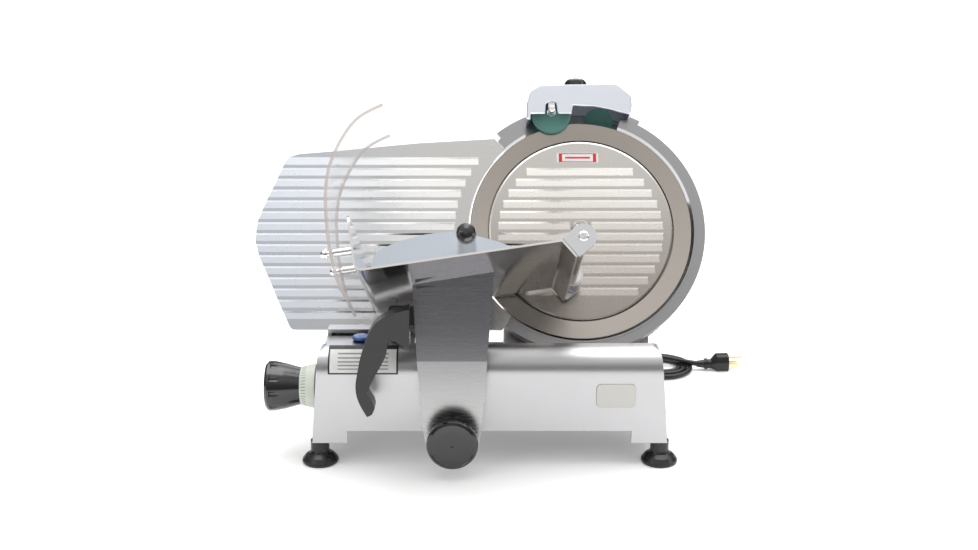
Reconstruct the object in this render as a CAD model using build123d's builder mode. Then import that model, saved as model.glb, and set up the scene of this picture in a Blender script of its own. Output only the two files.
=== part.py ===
"""Gravity-feed deli slicer with a 300 mm belt-driven blade. Millimetres, +Z up, +Y away from the user."""
from build123d import *
import math
import os

os.makedirs("parts", exist_ok=True)

# Blade centre in the row frame, and the two tilts that set the whole machine
BX, BY, BZ = 136.1, 70.4, 262.6
LEAN = 29.0
ROLL = 8.5
BLADE_R = 150.0
COVER_R = 125.0
RING_IN, RING_OUT = 153.0, 168.0

# Base casting
MID = BX - 123.3
BASE_FRONT, BASE_REAR = -184.0, 126.0
BASE_Z0, BASE_TOP = 30.0, 152.0
HALF_LOW, HALF_TOP = 225.8, 215.8
WALL = 5.0

# Food tray
TRAY_U, TRAY_V = -276.0, -115.0
TRAY_W, TRAY_BACK, TRAY_FRONT = 238.0, 8.0, 270.4
SHEET = 2.5
ROD_X = 263.0

# Carriage running gear
ROD_Y, ROD_Z = -142.0, 74.0
BAR_Y, BAR_Z = -160.0, 104.0
ARM_Y = -206.0
KNOB_X, KNOB_Z = -46.4, 48.0

# Thickness mechanism
DIAL_Y, DIAL_Z = -140.0, 91.0
GAUGE_U, GAUGE_V = -300.0, -200.0

# Power cord
CORD_R = 3.85

CL, SL = math.cos(math.radians(LEAN)), math.sin(math.radians(LEAN))
CR, SR = math.cos(math.radians(ROLL)), math.sin(math.radians(ROLL))
FEED = Vector(0, -CL, SL)
UP = Vector(0, SL, CL)
ACROSS = Vector(CR, SR * SL, SR * CL)


def pt(u, v, w):
    return Vector(BX + u, BY + v * SL - w * CL, BZ + v * CL + w * SL)


def blade_plane(w=0.0):
    return Plane(origin=pt(0, 0, w), x_dir=(1, 0, 0), z_dir=FEED)


def tray_plane(w=0.0):
    return Plane(origin=pt(TRAY_U, TRAY_V, w), x_dir=ACROSS, z_dir=FEED)


def feed_axis_plane(u, v):
    """Local x is a radius, local y runs along the feed direction."""
    return Plane(origin=pt(u, v, 0), x_dir=(1, 0, 0), z_dir=-UP)


def lift_axis_plane(u, w):
    """Local x is a radius, local y runs up the blade plane."""
    return Plane(origin=pt(u, 0, w), x_dir=(1, 0, 0), z_dir=FEED)


def x_axis_plane(y, z):
    return Plane(origin=(0, BY + y, z), x_dir=(0, 1, 0), z_dir=(0, 0, -1))


def y_axis_plane(x, z):
    return Plane(origin=(x, 0, z), x_dir=(1, 0, 0), z_dir=(0, 0, 1))


def z_axis_plane(x, y):
    return Plane(origin=(x, y, 0), x_dir=(1, 0, 0), z_dir=(0, -1, 0))


def outline(points, radii=None):
    with BuildLine() as line:
        if radii is None:
            Polyline(*points, close=True)
        else:
            FilletPolyline(*points, radius=radii, close=True)
    make_face(line.edges())


def turned(points, plane):
    """Revolve (radius, height) points about the plane's local y."""
    with BuildSketch(plane) as profile:
        outline(points)
    revolve(profile.sketch, axis=Axis(plane.origin, plane.y_dir))


def block(x0, x1, y0, y1, z0, z1, mode=Mode.ADD):
    with BuildSketch(Plane.XY.offset(z0)) as floor:
        with Locations(((x0 + x1) / 2, (y0 + y1) / 2)):
            Rectangle(x1 - x0, y1 - y0)
    extrude(floor.sketch, amount=z1 - z0, mode=mode)


def arc_points(radius, a0, a1, count):
    return [(radius * math.cos(math.radians(a0 + (a1 - a0) * i / count)),
             radius * math.sin(math.radians(a0 + (a1 - a0) * i / count))) for i in range(count + 1)]


def wedge(a0, a1, reach, mode=Mode.SUBTRACT):
    with BuildLine() as line:
        Polyline((0, 0), *arc_points(reach, a0, a1, 6), close=True)
    make_face(line.edges(), mode=mode)


def save(builder, name):
    builder.part.label = name
    export_step(builder.part, "parts/" + name + ".step")
    size = builder.part.bounding_box()
    print(name, len(builder.part.solids()), round(builder.part.volume / 1000.0, 2),
          [round(v, 1) for v in (size.min.X, size.max.X, size.min.Y, size.max.Y, size.min.Z, size.max.Z)])


# ---------------------------------------------------------------- base casting
def side_profile(inset):
    pts = [(BASE_FRONT + inset, BASE_Z0 - 12 if inset else BASE_Z0),
           (BASE_FRONT + inset, BASE_TOP - inset), (-146 + inset * 0.3, BASE_TOP - inset),
           (-31 - inset * 0.5, 72 - inset), (BASE_REAR - inset, 58 - inset),
           (BASE_REAR - inset, BASE_Z0 - 12 if inset else BASE_Z0)]
    return [(BY + y, z) for y, z in pts], [0.5, 30 - inset, 6, 20, 7 - inset * 0.5, 0.5]


def front_profile(inset):
    low, top = HALF_LOW - inset, HALF_TOP - inset
    z0 = BASE_Z0 - (20 if inset else 2)
    slope = (low - top) / (BASE_TOP - BASE_Z0)
    skirt = low + slope * (BASE_Z0 - z0)
    z1 = BASE_TOP + 0.01 - inset
    peak = low - slope * (z1 - BASE_Z0)
    return [(MID - skirt, z0), (MID - peak, z1), (MID + peak, z1), (MID + skirt, z0)], [0.5, 12, 12, 0.5]


def base_body(inset):
    with BuildPart() as body:
        with BuildSketch(Plane.YZ.offset(MID - 240)):
            outline(*side_profile(inset))
        extrude(amount=480)
        with BuildSketch(Plane.XZ.offset(-BY - 200)):
            outline(*front_profile(inset))
        extrude(amount=500, mode=Mode.INTERSECT)
    return body.part


def deck_body(inset):
    """Raised switch deck and the hood over the thickness slide, left of the carriage arm."""
    pts = [(-150, 125), (-150, BASE_TOP - inset), (-114 - inset, BASE_TOP - inset),
           (-114 - inset, 159 - inset), (-95 - inset, 159 - inset), (-95 - inset, 96)]
    with BuildPart() as body:
        with BuildSketch(Plane.YZ.offset(MID - 210 + inset)):
            outline([(BY + y, z) for y, z in pts])
        extrude(amount=114 - 2 * inset)
    return body.part


START_X, STOP_X, BUTTON_Y = MID - 165.0, MID - 115.5, BY - 136.0
CORD_X, CORD_Z = MID + 150.0, 46.0
FEET = [(MID + sx * 217.6, BY + y) for sx in (-1, 1) for y in (-172.0, 100.0)]

with BuildPart() as base_housing:
    add(base_body(0))
    add(deck_body(0))
    add(base_body(WALL), mode=Mode.SUBTRACT)
    add(deck_body(WALL), mode=Mode.SUBTRACT)
    block(MID - 181, MID + 180, BY + BASE_FRONT - 2, BY + BASE_FRONT + WALL + 3, 20, 47, mode=Mode.SUBTRACT)
    for fx, fy in FEET:
        inner = fx - 7 if fx > MID else fx + 7
        block(inner - 12, inner + 12, fy - 9, fy + 12, BASE_Z0, BASE_Z0 + 6)
    with BuildSketch(Plane.YZ.offset(MID - 240)):
        with Locations((BY + DIAL_Y, DIAL_Z)):
            Circle(8.06)
    extrude(amount=60, mode=Mode.SUBTRACT)
    block(MID - 200, MID - 153, BY - 94, BY - 30, 60, 130, mode=Mode.SUBTRACT)
    with BuildSketch(Plane.XY.offset(140)):
        with Locations((START_X, BUTTON_Y), (STOP_X, BUTTON_Y)):
            Circle(9.4)
    extrude(amount=20, mode=Mode.SUBTRACT)
    with BuildSketch(Plane.XZ.offset(-(BY + BASE_REAR + 5))):
        with Locations((CORD_X, CORD_Z)):
            Circle(7.0)
    extrude(amount=14, mode=Mode.SUBTRACT)
save(base_housing, "base_housing")

with BuildPart() as base_plate:
    block(MID - 220, MID + 220, BY - 96, BY + 120, 31, 33)
    for fx, fy in FEET:
        block(fx - 22, fx + 22, fy - 12, fy + 13, 28, 40, mode=Mode.SUBTRACT)
    for i in range(7):
        with BuildSketch(Plane.XY.offset(28)):
            with Locations((MID + 40 + i * 14, BY + 60)):
                SlotOverall(60, 5, rotation=90)
        extrude(amount=8, mode=Mode.SUBTRACT)
save(base_plate, "base_plate")

with BuildPart() as feet:
    for fx, fy in FEET:
        turned([(0, 0), (22.0, 0), (23.5, 2.5), (23.0, 5), (19, 10), (13.5, 14), (11.9, 17),
                (11.75, BASE_Z0), (0, BASE_Z0)], z_axis_plane(fx, fy))
save(feet, "feet")


# ---------------------------------------------------------------- column behind the blade
MOTOR_U, MOTOR_V = 8.0, -88.0
SIDE_L, SIDE_R = -104.0, 93.0


COLUMN = [(-46.96, 83.07), (27.6, 217.6), (92.4, 181.7), (126, 158), (126, 58), (-31, 72)]
COLUMN_HOLLOW = [(-42.6, 80), (29.6, 210.8), (88.2, 178.3), (121, 155), (121, 58), (-31, 66)]
COLUMN_R = [1, 10, 14, 16, 0.5, 0.5]


RING_BOSSES = [(160.5 * math.cos(math.radians(a)), 160.5 * math.sin(math.radians(a))) for a in (-62,
                                                                                                -24, 12)]

with BuildPart() as column:
    with BuildSketch(Plane.YZ.offset(BX + SIDE_L)):
        outline([(BY + y, z) for y, z in COLUMN], COLUMN_R)
    extrude(amount=SIDE_R - SIDE_L)
    with BuildSketch(Plane.YZ.offset(BX + SIDE_L + WALL)):
        outline([(BY + y, z) for y, z in COLUMN_HOLLOW], COLUMN_R)
    extrude(amount=SIDE_R - SIDE_L - 2 * WALL, mode=Mode.SUBTRACT)
    with BuildSketch(blade_plane(-54)):
        Circle(92)
        with Locations((MOTOR_U, MOTOR_V)):
            Circle(42)
        outline([(-90, 10), (90, 10), (88, -150), (-88, -150)], [1, 1, 20, 20])
        with BuildLine():
            Polyline(*arc_points(167, -72, 20, 12), (60, 0), close=True)
        make_face()
    extrude(amount=8)
    with BuildSketch(blade_plane(-46)):
        with BuildLine():
            l1 = CenterArc((0, 0), 88, -20, 220)
            l2 = CenterArc((MOTOR_U, MOTOR_V), 38, 200, 140)
            Line(l1 @ 1, l2 @ 0)
            Line(l2 @ 1, l1 @ 0)
        make_face()
    extrude(amount=22)
    with BuildSketch(blade_plane(-46)):
        with BuildLine():
            l3 = CenterArc((0, 0), 83, -20, 220)
            l4 = CenterArc((MOTOR_U, MOTOR_V), 33, 200, 140)
            Line(l3 @ 1, l4 @ 0)
            Line(l4 @ 1, l3 @ 0)
        make_face()
    extrude(amount=23, mode=Mode.SUBTRACT)
    with BuildSketch(blade_plane(-104)):
        Circle(33)
    extrude(amount=60)
    with BuildSketch(blade_plane(-108)):
        Circle(20)
    extrude(amount=70, mode=Mode.SUBTRACT)
    with BuildSketch(blade_plane(-60)):
        with Locations((MOTOR_U, MOTOR_V)):
            Circle(24)
    extrude(amount=20, mode=Mode.SUBTRACT)
    with BuildSketch(blade_plane(-46)):
        with Locations(*RING_BOSSES):
            Circle(7)
    extrude(amount=20)
    with BuildSketch(Plane.XZ.offset(-(BY + BASE_REAR + 4))):
        with Locations((BX - 5.5, 112)):
            RectangleRounded(130, 76, 6)
    extrude(amount=12, mode=Mode.SUBTRACT)
    with BuildSketch(blade_plane(-54)):
        with Locations((-100, 20), (-100, -20)):
            Circle(10)
    extrude(amount=8)
    add(base_body(0), mode=Mode.SUBTRACT)
save(column, "column")

with BuildPart() as rear_vent:
    with BuildSketch(Plane.XZ.offset(-(BY + BASE_REAR + 2))):
        with Locations((BX - 5.5, 112)):
            RectangleRounded(150, 96, 8)
        with GridLocations(0, 10, 1, 6):
            with Locations((BX - 5.5, 112)):
                SlotOverall(100, 4, mode=Mode.SUBTRACT)
    extrude(amount=2)
save(rear_vent, "rear_vent_cover")


# ---------------------------------------------------------------- ring guard
with BuildPart() as ring_guard:
    with BuildSketch(blade_plane(-26)):
        Circle(RING_OUT)
        Circle(RING_IN, mode=Mode.SUBTRACT)
        wedge(131.8, 232.5, 230)
        wedge(70, 119, 200)
    extrude(amount=28)
    with BuildSketch(blade_plane(-34)):
        Circle(184)
        Circle(152, mode=Mode.SUBTRACT)
        wedge(128, 422, 260)
    extrude(amount=8)
    with BuildSketch(blade_plane(-34)):
        with Locations((-4, 184)):
            Rectangle(26, 12)
    extrude(amount=8)
    with BuildSketch(blade_plane(2)):
        Circle(RING_IN + 2.5)
        Circle(RING_IN, mode=Mode.SUBTRACT)
        wedge(131.8, 232.5, 230)
        wedge(70, 119, 200)
    extrude(amount=1.2)
    turned([(0, 190), (5, 190), (5, 206), (4, 208), (0, 208)], lift_axis_plane(-4, -30))
save(ring_guard, "ring_guard")


# ---------------------------------------------------------------- blade and its drive
with BuildPart() as blade:
    turned([(20, -14), (20, -10), (126.3, -10), (126.3, -2.2), (149.3, 0), (150, -0.8), (143, -8),
            (130, -14)],
           feed_axis_plane(0, 0))
save(blade, "blade")

with BuildPart() as blade_hub:
    turned([(6, -107), (6, -11.5), (19.7, -11.5), (19.7, -14), (40, -14), (40, -20), (22, -20), (22, -25),
            (60, -25), (62, -26), (62, -39), (60, -40), (16, -40), (16, -50), (12, -50), (12, -107)],
           feed_axis_plane(0, 0))
    for a in (45, 135, 225, 315):
        turned([(0, -10), (5, -10), (4.2, -8.8), (0, -8.6)],
               feed_axis_plane(31 * math.cos(math.radians(a)), 31 * math.sin(math.radians(a))))
save(blade_hub, "blade_hub_pulley")


with BuildPart() as bearings:
    for w in (-66, -100):
        turned([(12.03, w), (12.03, w + 12), (20, w + 12), (20, w)], feed_axis_plane(0, 0))
save(bearings, "spindle_bearings")

COVER_RIBS = [85.1 - 15.2 * i for i in range(12)]


def flutes(rows):
    """Cut shallow sloped flutes into the face w = top; rows of (v, left, right, top)."""
    for v, left, right, top in rows:
        side = Plane(origin=pt(left, 0, 0), x_dir=UP, z_dir=(1, 0, 0))
        depth = [side.to_local_coords(pt(left, v + dv, top + dw)) for dv,
                 dw in ((2.2, 0.2), (-0.4, -1.5), (-10, 0.2))]
        with BuildSketch(side) as profile:
            outline([(p.X, p.Y) for p in depth])
        extrude(profile.sketch, amount=right - left, mode=Mode.SUBTRACT)


with BuildPart() as blade_cover:
    turned([(4.2, -8), (4.2, -1), (122, -1), (124.2, -1.8), (125, -3), (125, -6), (120, -8)],
           feed_axis_plane(0, 0))
    for v in COVER_RIBS:
        half = math.sqrt(112 ** 2 - v * v)
        boss = math.sqrt(max(0.0, 17.0 ** 2 - v * v))
        flutes([(v, -half, -boss, -1), (v, boss, half, -1)] if boss else [(v, -half, half, -1)])
    turned([(4.2, -1), (4.2, 0.8), (11, 0.8), (13, -1)], feed_axis_plane(0, 0))
save(blade_cover, "blade_cover")

with BuildPart() as tie_rod:
    turned([(0, 3.2), (6.5, 3.2), (8, 2), (8, 0.8), (4, 0.8), (4, -124), (0, -124)], feed_axis_plane(0, 0))
save(tie_rod, "cover_tie_rod")

with BuildPart() as cover_knob:
    turned([(4.05, -110), (10, -110), (20, -116), (23, -122), (23, -132), (19, -136), (0, -136),
            (0, -124.3),
            (4.05, -124.3)], feed_axis_plane(0, 0))
save(cover_knob, "cover_knob")

with BuildPart() as cover_sticker:
    with BuildSketch(blade_plane(-1)):
        with Locations((-3, 101.5)):
            RectangleRounded(57, 14, 1.2)
    extrude(amount=0.3)
save(cover_sticker, "cover_sticker")

# ---------------------------------------------------------------- motor and belt
with BuildPart() as motor_body:
    turned([(17, -60), (47, -60), (50, -64), (50, -138), (45, -143), (0, -143), (0, -140), (17, -140)],
           feed_axis_plane(MOTOR_U, MOTOR_V))
    with BuildSketch(blade_plane(-136)):
        with Locations((MOTOR_U, MOTOR_V)):
            with PolarLocations(50.5, 20):
                Rectangle(5, 2.5)
    extrude(amount=70)
save(motor_body, "motor_body")

with BuildPart() as housing_screws:
    for sx in (-1, 1):
        for sz in (-1, 1):
            turned([(0, BY + BASE_REAR + 2), (4, BY + BASE_REAR + 2), (3.4, BY + BASE_REAR + 4),
                    (0, BY + BASE_REAR + 4.6)], y_axis_plane(BX - 5.5 + sx * 68, 112 + sz * 41))
    for u, v in RING_BOSSES:
        turned([(0, -54), (5, -54), (5, -58), (2.4, -58.5), (0, -58.5)], feed_axis_plane(u, v))
save(housing_screws, "housing_screws")

with BuildPart() as motor_rotor:
    turned([(0, -139), (0, -26), (5, -26), (5, -27), (14, -27), (14, -40), (6, -40), (6, -62), (16, -70),
            (16, -132), (6, -134), (6, -139)], feed_axis_plane(MOTOR_U, MOTOR_V))
save(motor_rotor, "motor_rotor")

BELT_GAP, BELT_T = 0.35, 2.6
belt_angle = math.degrees(math.acos((62 - 14) / math.hypot(MOTOR_U, MOTOR_V)))
toward = math.degrees(math.atan2(MOTOR_V, MOTOR_U))


def belt_loop(extra):
    a = toward + belt_angle
    b = toward - belt_angle
    big, small = 62 + extra, 14 + extra

    def on(c, r, t):
        return c[0] + r * math.cos(math.radians(t)), c[1] + r * math.sin(math.radians(t))

    with BuildLine() as line:
        ThreePointArc(on((0, 0), big, a), on((0, 0), big, toward + 180), on((0, 0), big, b))
        Line(on((0, 0), big, b), on((MOTOR_U, MOTOR_V), small, b))
        ThreePointArc(on((MOTOR_U, MOTOR_V), small, b), on((MOTOR_U, MOTOR_V), small, toward),
                      on((MOTOR_U, MOTOR_V), small, a))
        Line(on((MOTOR_U, MOTOR_V), small, a), on((0, 0), big, a))
    return line.edges()


with BuildPart() as belt:
    with BuildSketch(blade_plane(-38)):
        make_face(belt_loop(BELT_GAP + BELT_T))
        make_face(belt_loop(BELT_GAP), mode=Mode.SUBTRACT)
    extrude(amount=10)
save(belt, "drive_belt")

# ---------------------------------------------------------------- slice deflector behind the blade
with BuildPart() as deflector:
    with BuildSketch(blade_plane(-36)):
        with BuildLine():
            Polyline(*arc_points(146, 138, 226, 16), *arc_points(93, 226, 138, 12), close=True)
        make_face()
    extrude(amount=1.5)
    for v in (20, -20):
        turned([(0, -46), (5, -46), (5, -34.5), (8, -34.5), (8, -31.5), (7, -31), (0, -31)],
               feed_axis_plane(-100, v))
save(deflector, "slice_deflector")

# ---------------------------------------------------------------- sharpener
SH = [(-72.9, 150), (-72.5, 172), (-67, 190), (-54, 198), (-19.7, 199), (50.3, 200), (69.5, 183),
      (70.6, 169),
      (68.9, 156), (45, 163), (20, 168), (-9.6, 170), (-11.8, 157.5), (-29.9, 157.5), (-33.2, 173.6),
      (-38.8, 175.8), (-46.5, 172), (-48, 157.5), (-67.5, 157.5), (-68, 150)]
SH_R = [1, 8, 10, 10, 20, 14, 8, 6, 3, 10, 20, 2, 1, 1, 2, 4, 3, 1, 1, 1]

with BuildPart() as sharpener_housing:
    with BuildSketch(blade_plane(-24)):
        outline(SH[:5] + SH[5:9] + [(45, 163), (20, 168), (-9.6, 170), (-60, 170)],
                [1, 8, 10, 10, 20, 14, 8, 6, 3, 10, 20, 10, 4])
    extrude(amount=42)
    with BuildSketch(blade_plane(-20.5)):
        outline([(-69.5, 140), (-69.5, 171), (-65, 187), (-53, 194.5), (-19.7, 195.5), (48.8, 196.3),
                 (66, 181),
                 (67, 169), (66, 140)], [1, 8, 8, 8, 18, 12, 6, 4, 1])
    extrude(amount=38.5, mode=Mode.SUBTRACT)
    with BuildSketch(blade_plane(18)):
        outline(SH, SH_R)
    extrude(amount=4)
    front_edges = sharpener_housing.faces().sort_by(Axis(pt(0, 0, 0), FEED))[-1].outer_wire().edges()
    chamfer(front_edges, 1.0)
    with BuildSketch(blade_plane(-36.2)):
        with Locations((-4, 196)):
            RectangleRounded(26, 10, 2)
    extrude(amount=12.4)
    with BuildSketch(Plane(origin=pt(-4, 180, -30), x_dir=(1, 0, 0), z_dir=UP)):
        Circle(5.05)
    extrude(amount=30, mode=Mode.SUBTRACT)
    with BuildSketch(blade_plane(14)):
        with Locations((-38.8, 162)):
            Circle(5)
    extrude(amount=5)
    with BuildSketch(blade_plane(14)):
        with Locations((-38.8, 168)):
            Rectangle(9, 16)
    extrude(amount=5)
    with BuildSketch(blade_plane(8)):
        with Locations((-38.8, 162)):
            Circle(3.05)
    extrude(amount=16, mode=Mode.SUBTRACT)
    with BuildSketch(blade_plane(-25.5)):
        with Locations((28, 165)):
            Circle(7)
    extrude(amount=5)
    with BuildSketch(blade_plane(-28)):
        with Locations((28, 158)):
            Circle(3.05)
    extrude(amount=10, mode=Mode.SUBTRACT)
    with BuildSketch(Plane(origin=pt(-4, 180, -8), x_dir=(1, 0, 0), z_dir=UP)):
        Circle(4.05)
    extrude(amount=30, mode=Mode.SUBTRACT)
save(sharpener_housing, "sharpener_housing")


with BuildPart() as grinding_stone:
    turned([(3.05, 0.9), (26, 0.9), (27, 1.8), (27, 8), (24, 9), (3.05, 9)], feed_axis_plane(-38.8, 162))
save(grinding_stone, "grinding_stone")

with BuildPart() as grinding_spindle:
    turned([(0, 1.2), (3, 1.2), (3, 9), (6, 9), (6, 13.6), (3, 13.6), (3, 24.2), (4.6, 24.2), (4.6, 29),
            (3.6, 30),
            (0, 30)], feed_axis_plane(-38.8, 162))
save(grinding_spindle, "grinding_spindle")

with BuildPart() as stone_rear:
    turned([(0, -15.2), (20, -15.2), (20, -19), (3, -19.4), (3, -25.5), (0, -25.5)],
           feed_axis_plane(28, 158))
save(stone_rear, "honing_stone")

with BuildPart() as sharpener_knob:
    turned([(0, 197), (4, 197), (4, 200.2), (13.5, 200.2), (15.7, 202.5), (15.7, 211), (13.5, 214),
            (0, 214)],
           lift_axis_plane(-4, -8))
save(sharpener_knob, "sharpener_knob")

# ---------------------------------------------------------------- thickness gauge
GAUGE = [(-101.8, 111.8), (-116.6, 128.2), (-221, 122), (-258, 118.5), (-332, 111), (-385, 106.5),
         (-401, 101), (-413, 72),
         (-428, 38), (-438, 12), (-440.5, -15), (-434, -38), (-419, -70), (-406, -100), (-388, -137.5),
         (-107.5, -137.5), (-93.5, -119.5)]
GAUGE_FR = [0.5, 1, 60, 60, 30, 20, 6, 20, 30, 30, 12, 20, 20, 20, 8, 1, 0.5]
GAUGE_LEFT = [(131, -395), (101, -398), (72, -413), (38, -428), (12, -438), (-15, -440.5), (-38, -434),
              (-70, -419), (-100, -406), (-137.5, -388)]


def gauge_left(v):
    for (v0, u0), (v1, u1) in zip(GAUGE_LEFT, GAUGE_LEFT[1:]):
        if v1 <= v <= v0:
            return u0 + (u1 - u0) * (v0 - v) / (v0 - v1)
    return GAUGE_LEFT[-1][1]


with BuildPart() as gauge_plate:
    with BuildSketch(blade_plane(-8)):
        outline(GAUGE, GAUGE_FR)
        Circle(152.2, mode=Mode.SUBTRACT)
    extrude(amount=8)
    with BuildSketch(blade_plane(-8)):
        outline([(-120, 124.5), (-221, 117), (-385, 100), (-397, 94), (-433, 5), (-433, -20),
                 (-384, -132.5),
                 (-113, -132.5)], [1, 40, 12, 12, 30, 30, 8, 1])
        Circle(158, mode=Mode.SUBTRACT)
    extrude(amount=4.5, mode=Mode.SUBTRACT)
    rows = []
    for i in range(15):
        v = 100.0 - 15.3 * i
        right = -math.sqrt(171.0 ** 2 - v * v)
        rows.append((v, gauge_left(v) - 6.0, right, 0.0))
    flutes(rows)
    for v0 in (-100, 40):
        with BuildSketch(blade_plane(-8)):
            with Locations((GAUGE_U, v0)):
                Circle(9)
        extrude(amount=4.6)
save(gauge_plate, "gauge_plate")

with BuildPart() as gauge_arm:
    with BuildSketch(blade_plane(-26)):
        outline([(-318, 60), (-282, 60), (-276, -60), (-280, -230), (-320, -230), (-324, -60)],
                [8, 8, 20, 6, 6, 20])
    extrude(amount=10)
    with BuildSketch(blade_plane(-16)):
        with Locations((GAUGE_U, -100), (GAUGE_U, 40)):
            Circle(9)
    extrude(amount=8)
    with BuildSketch(blade_plane(-44)):
        with Locations((GAUGE_U, GAUGE_V)):
            RectangleRounded(36, 34, 5)
    extrude(amount=34)
    with BuildSketch(blade_plane(-60)):
        with Locations((GAUGE_U, GAUGE_V)):
            Circle(8.06)
    extrude(amount=70, mode=Mode.SUBTRACT)
    with BuildSketch(blade_plane(-40)):
        with Locations((GAUGE_U - 13, GAUGE_V + 20)):
            Rectangle(10, 20)
    extrude(amount=14)
    for v in (-100, 40):
        turned([(0, -26), (6, -26), (6, -31), (0, -31)], feed_axis_plane(GAUGE_U, v))
save(gauge_arm, "gauge_arm")


with BuildPart() as shaft_clamps:
    for w in (-72, 0):
        with BuildSketch(blade_plane(w)):
            with Locations((GAUGE_U - 14, GAUGE_V)):
                Rectangle(60, 22)
        extrude(amount=8)
    add(base_body(WALL + 0.02), mode=Mode.INTERSECT)

with BuildPart() as gauge_shaft:
    turned([(0, -72), (8, -72), (8, 8), (0, 8)], feed_axis_plane(GAUGE_U, GAUGE_V))
    add(shaft_clamps.part)
save(gauge_shaft, "gauge_shaft")

# ---------------------------------------------------------------- thickness dial on the left side
wall_x = MID - HALF_LOW + (DIAL_Z - BASE_Z0) * (HALF_LOW - HALF_TOP) / (BASE_TOP - BASE_Z0)
KNOB_END, RING_END = MID - 287.0, MID - 243.0

with BuildPart() as dial_knob:
    turned([(0, KNOB_END - 1.5), (20, KNOB_END - 1), (30, KNOB_END), (32.4, KNOB_END + 3),
            (32.2, KNOB_END + 10),
            (29.5, KNOB_END + 24), (25.5, KNOB_END + 38), (24, RING_END), (8, RING_END), (8, RING_END - 8),
            (0, RING_END - 8)], x_axis_plane(DIAL_Y, DIAL_Z))
    with BuildSketch(Plane.YZ.offset(KNOB_END + 6)):
        with Locations((BY + DIAL_Y, DIAL_Z)):
            with PolarLocations(34.5, 10):
                Circle(5.0)
    extrude(amount=32, taper=4, mode=Mode.SUBTRACT)
save(dial_knob, "dial_knob")

with BuildPart() as dial_ring:
    turned([(8, RING_END), (24.2, RING_END), (25.5, RING_END + 4), (28.6, RING_END + 17),
            (28.6, wall_x - 2.5),
            (8, wall_x - 2.5)], x_axis_plane(DIAL_Y, DIAL_Z))
save(dial_ring, "dial_ring")

with BuildPart() as dial_shaft:
    turned([(0, RING_END - 8), (8, RING_END - 8), (8, wall_x + 11), (28, wall_x + 11), (28, wall_x + 17),
            (6, wall_x + 17), (6, wall_x + 20), (0, wall_x + 20)], x_axis_plane(DIAL_Y, DIAL_Z))
save(dial_shaft, "dial_shaft_cam")


# ---------------------------------------------------------------- switch
with BuildPart() as switch_box:
    block(MID - 186, MID - 102, BUTTON_Y - 10, BUTTON_Y + 13, 118, 138.5)
    fillet(switch_box.edges().filter_by(Axis.Z), 3.0)
save(switch_box, "switch_box")


def button(x, r):
    turned([(0, 141), (6, 141), (6, 154.6), (r, 154.6), (r, 156.6), (r - 1.5, 158.2), (0, 159)],
           z_axis_plane(x, BUTTON_Y))


with BuildPart() as start_button:
    button(START_X, 11.0)
save(start_button, "start_button")
with BuildPart() as stop_button:
    button(STOP_X, 10.0)
save(stop_button, "stop_button")

# ---------------------------------------------------------------- carriage rails inside the base
with BuildPart() as slide_rails:
    turned([(0, MID - 190), (8, MID - 190), (8, MID + 190), (0, MID + 190)], x_axis_plane(ROD_Y, ROD_Z))
    block(MID - 190, MID + 190, BY + BAR_Y - 3, BY + BAR_Y + 3, BAR_Z - 8, BAR_Z + 8)
save(slide_rails, "slide_rails")

with BuildPart() as rail_ends:
    for sx in (-1, 1):
        x0, x1 = (MID - 198, MID - 184) if sx < 0 else (MID + 184, MID + 198)
        block(x0, x1, BY - 178.5, BY - 128, 60, 118)
    with BuildSketch(Plane.YZ.offset(MID - 190)):
        with Locations((BY + ROD_Y, ROD_Z)):
            Circle(8.0)
    extrude(amount=380, mode=Mode.SUBTRACT)
    block(MID - 190, MID + 190, BY + BAR_Y - 3, BY + BAR_Y + 3, BAR_Z - 8, BAR_Z + 8, mode=Mode.SUBTRACT)
save(rail_ends, "rail_ends")

with BuildPart() as bumpers:
    for x0 in (MID - 184, MID + 178):
        turned([(8.02, x0), (8.02, x0 + 6), (13, x0 + 6), (13, x0)], x_axis_plane(ROD_Y, ROD_Z))
save(bumpers, "travel_bumpers")

# ---------------------------------------------------------------- carriage
ARM_T = 6.0
BEND_Z = 148.0
ARM_LEAN = 10.4
ARM_L = [(-90, 148), (-88.6, 131), (-84.3, 64.6), (-80.4, 36.4), (-79.1, 22)]
ARM_R = [(-15.4, 22), (-13.8, 35.3), (-11.6, 53.4), (-5.3, 109), (-3.2, 148)]

with BuildPart() as carriage_arm:
    with BuildSketch(Plane.XZ.offset(-(BY + ARM_Y + ARM_T))):
        outline([(MID + x, z) for x, z in ARM_L + ARM_R], [0.5, 300, 300, 200, 10, 10, 200, 300, 300, 0.5])
    extrude(amount=ARM_T)
    upper = Plane(origin=(MID, BY + ARM_Y + ARM_T, BEND_Z), x_dir=(1, 0, 0),
                  z_dir=(0, -math.cos(math.radians(ARM_LEAN)), math.sin(math.radians(ARM_LEAN))))
    with BuildSketch(upper):
        outline([(-90, 0), (-96.5, 125), (6.5, 125), (-3.2, 0)])
    extrude(amount=ARM_T)
    with BuildSketch(Plane.YZ.offset(MID - 90)):
        with BuildLine():
            Polyline((BY + ARM_Y + ARM_T, BEND_Z), (BY + ARM_Y, BEND_Z),
                     (BY + ARM_Y + ARM_T * (1 - math.cos(math.radians(ARM_LEAN))),
                      BEND_Z + ARM_T * math.sin(math.radians(ARM_LEAN))), close=True)
        make_face()
    extrude(amount=86.8)
    with BuildSketch(tray_plane(60)):
        with Locations((110, 48.0)):
            Rectangle(320, 101)
    extrude(amount=250, mode=Mode.SUBTRACT)
    with BuildSketch(tray_plane(112)):
        with Locations((106, -5.5)):
            Rectangle(88, 6)
    extrude(amount=43)
    with BuildSketch(Plane.XZ.offset(-(BY + ARM_Y + ARM_T + 1))):
        with Locations((MID + KNOB_X, KNOB_Z)):
            Circle(5.1)
    extrude(amount=10, mode=Mode.SUBTRACT)
save(carriage_arm, "carriage_arm")


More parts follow.
